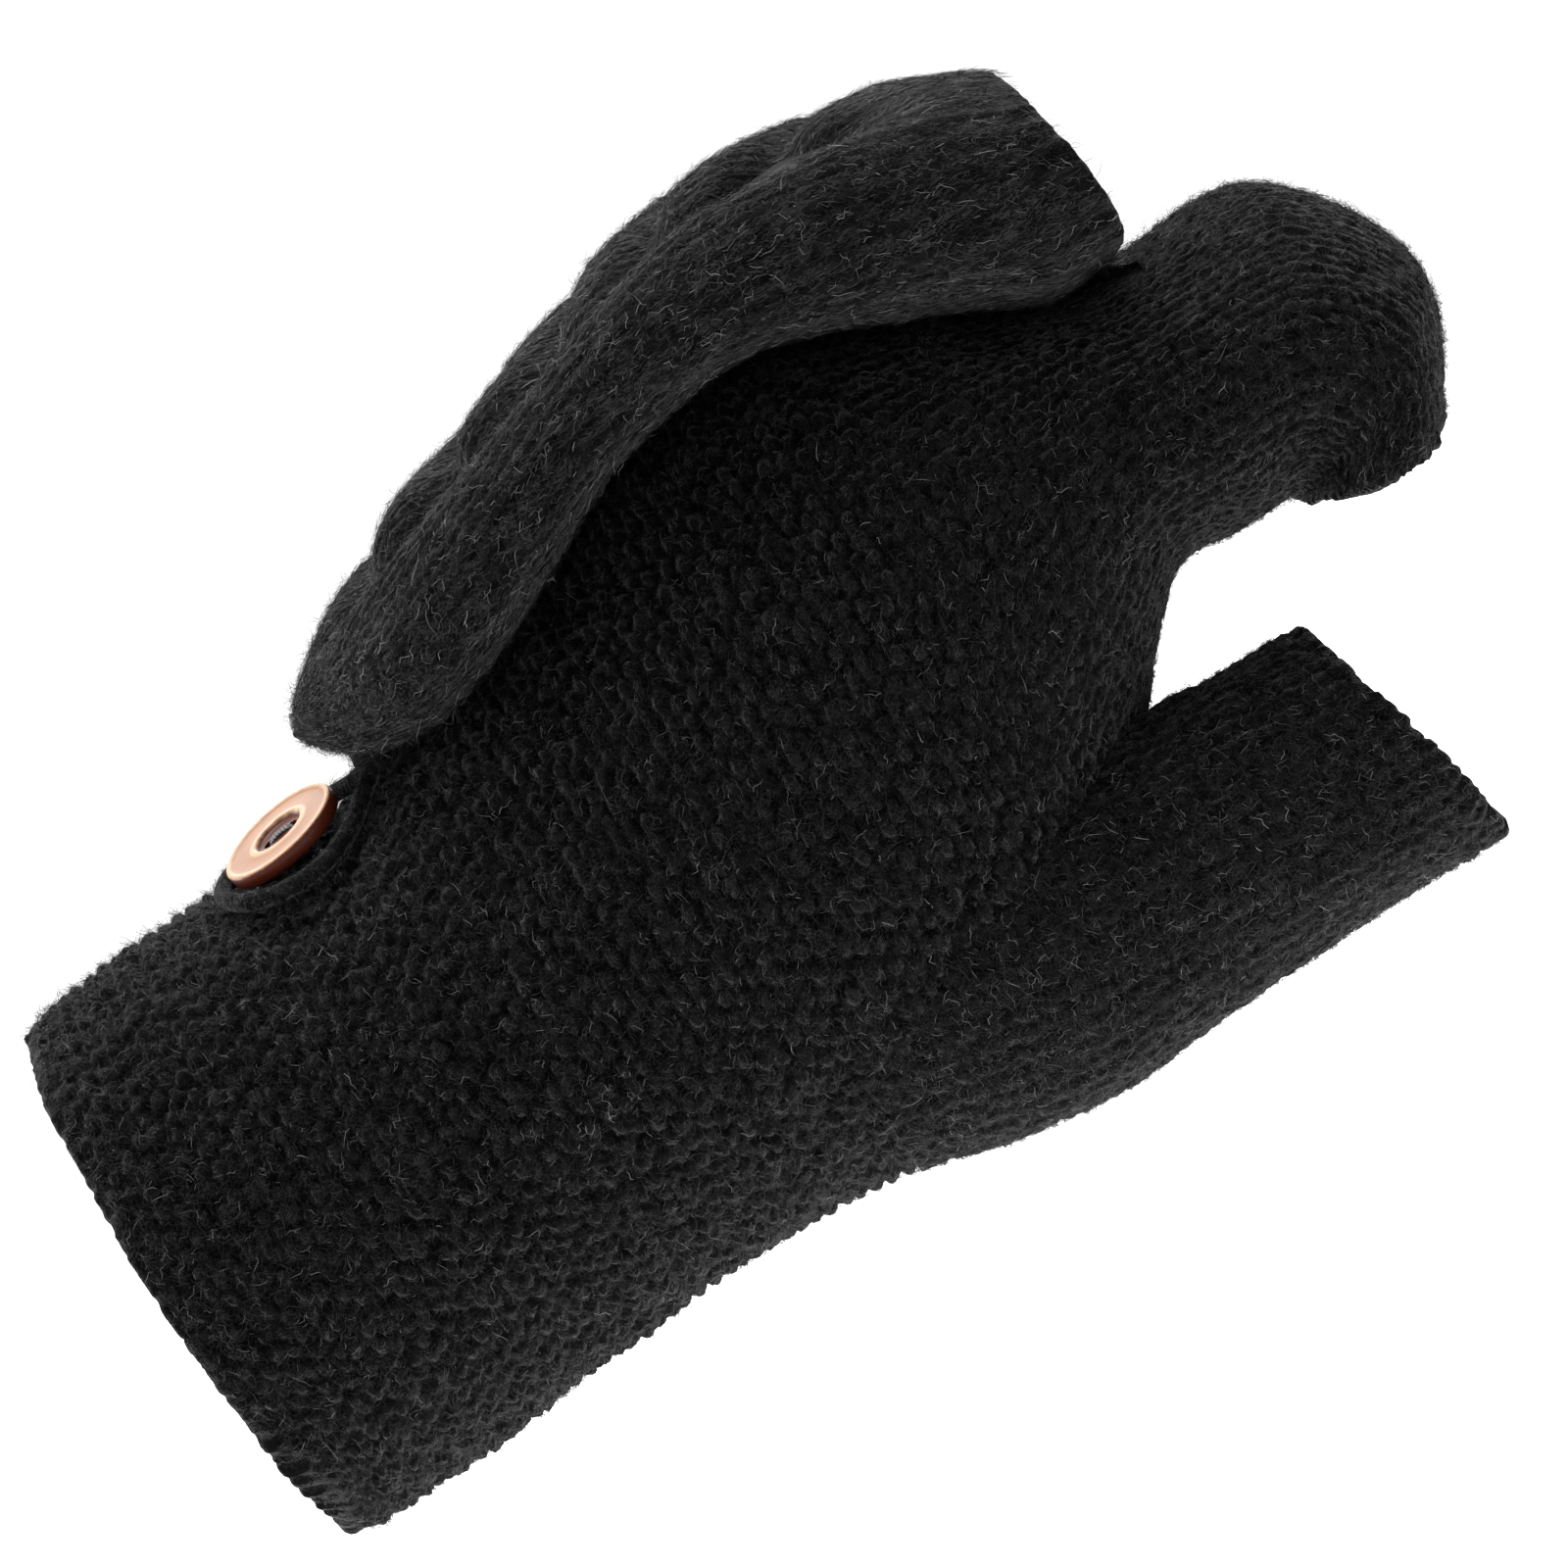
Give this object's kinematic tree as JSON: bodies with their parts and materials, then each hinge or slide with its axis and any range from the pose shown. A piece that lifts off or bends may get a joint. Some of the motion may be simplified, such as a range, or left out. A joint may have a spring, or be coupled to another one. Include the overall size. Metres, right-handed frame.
{
  "type": "convertible flip-top mitten",
  "caption": "Left-hand knitted mitten with an open thumb tube, one bent finger sleeve, and a pouch hood that flips back and buttons to the wrist by a cord loop.",
  "frame": {"origin": "centre of the wrist opening, in the plane of the cuff's edge", "axes": "+X from the wrist towards the fingers, +Z out of the back of the hand, thumb on the -Y side"},
  "size_m": [0.159, 0.0785, 0.0983],
  "materials": {
    "purl_knit": "brushed purl knit",
    "fine_knit": "brushed fine knit",
    "hood_knit": "brushed smooth knit",
    "rib_knit": "brushed rib knit",
    "sewing_thread": "matte thread",
    "cord": "fuzzy cord",
    "button_resin": "polished wood-look resin"
  },
  "bodies": {
    "glove": {"cuff_edge": "rib_knit", "cuff": "purl_knit", "hand_shell": "purl_knit", "thumb_tube": "fine_knit", "thumb_edge": "rib_knit", "finger_sleeve": "fine_knit", "finger_edge": "rib_knit", "side_seam": "sewing_thread", "knuckle_seam": "sewing_thread", "button_shank": "sewing_thread", "shank_knot": "sewing_thread"},
    "button": {"button": "button_resin", "button_thread": "sewing_thread"},
    "hood_back": {"hood_back_panel": "hood_knit", "hood_back_rib": "rib_knit"},
    "hood_tip": {"hood_tip_pouch": "hood_knit", "tip_gather": "sewing_thread"},
    "hood_palm": {"hood_palm_panel": "hood_knit", "hood_palm_rib": "rib_knit"},
    "loop": {"button_loop": "cord", "loop_stem": "cord"}
  },
  "joints": [
    {"name": "hood_flip", "type": "hinge", "parent": "glove", "child": "hood_back", "pos_m": [0.136, 0, 0.0378], "axis": [0, 1, 0], "range_deg": [0, 165]},
    {"name": "hood_bend", "type": "hinge", "parent": "hood_back", "child": "hood_tip", "pos_m": [0.093, 0, 0.05], "axis": [0, 1, 0], "range_deg": [0, 34]},
    {"name": "hood_open", "type": "hinge", "parent": "hood_back", "child": "hood_palm", "pos_m": [0.093, 0, 0.063], "axis": [0, -1, 0], "range_deg": [0, 22]},
    {"name": "loop_swing", "type": "hinge", "parent": "hood_tip", "child": "loop", "pos_m": [0.0442, -0.0078, 0.0355], "axis": [0, 1, 0], "range_deg": [0, 30]},
    {"name": "button_swivel", "type": "hinge", "parent": "glove", "child": "button", "pos_m": [0.0335, -0.008, 0.03177], "axis": [-0.139, -0.223, 0.9649], "range_deg": [-60, 60]}
  ],
  "couplings": [
    {"joint": "hood_bend", "follows": "hood_flip", "ratio": 0.2},
    {"joint": "hood_open", "follows": "hood_flip", "ratio": 0.13}
  ]
}
